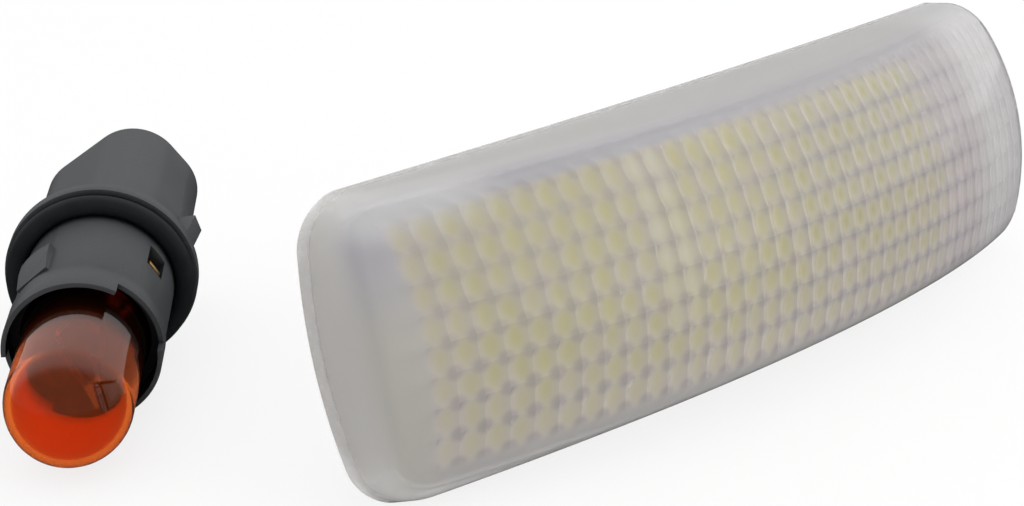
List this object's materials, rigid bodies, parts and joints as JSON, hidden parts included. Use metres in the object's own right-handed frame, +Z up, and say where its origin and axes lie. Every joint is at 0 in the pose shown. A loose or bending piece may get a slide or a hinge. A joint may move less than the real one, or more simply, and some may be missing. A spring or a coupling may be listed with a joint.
{
  "type": "side repeater lamp",
  "caption": "Bowed clear side repeater lamp for a car's front wing, with a white rear housing and its amber wedge bulb in a bayonet holder laid beside it.",
  "frame": {"origin": "middle of the set's footprint on the floor that the lamp and its holder stand on", "axes": "+X along the lamp, towards its clip end, +Y from the lens's face to the wing, +Z up from the floor"},
  "size_m": [0.1004, 0.0701, 0.0253],
  "materials": {
    "clear_acrylic": "clear moulded acrylic with pillow optics inside",
    "white_plastic": "moulded, light grain",
    "foam": "closed cell foam strip",
    "spring_steel": "bent strip, zinc plated",
    "black_nylon": "moulded, fine satin",
    "ring_rubber": "smooth rubber",
    "brass": "stamped strip",
    "amber_glass": "amber lacquered glass",
    "lead_wire": "drawn wire",
    "tungsten": "coiled wire"
  },
  "bodies": {
    "root": {"lens_cover": "clear_acrylic", "rear_housing": "white_plastic", "panel_seal": "foam", "retaining_clip": "spring_steel", "holder_body": "black_nylon", "holder_seal": "ring_rubber", "contact_left": "brass", "contact_right": "brass", "bulb_glass": "amber_glass", "lead_left": "lead_wire", "lead_right": "lead_wire", "filament": "tungsten"}
  },
  "joints": []
}
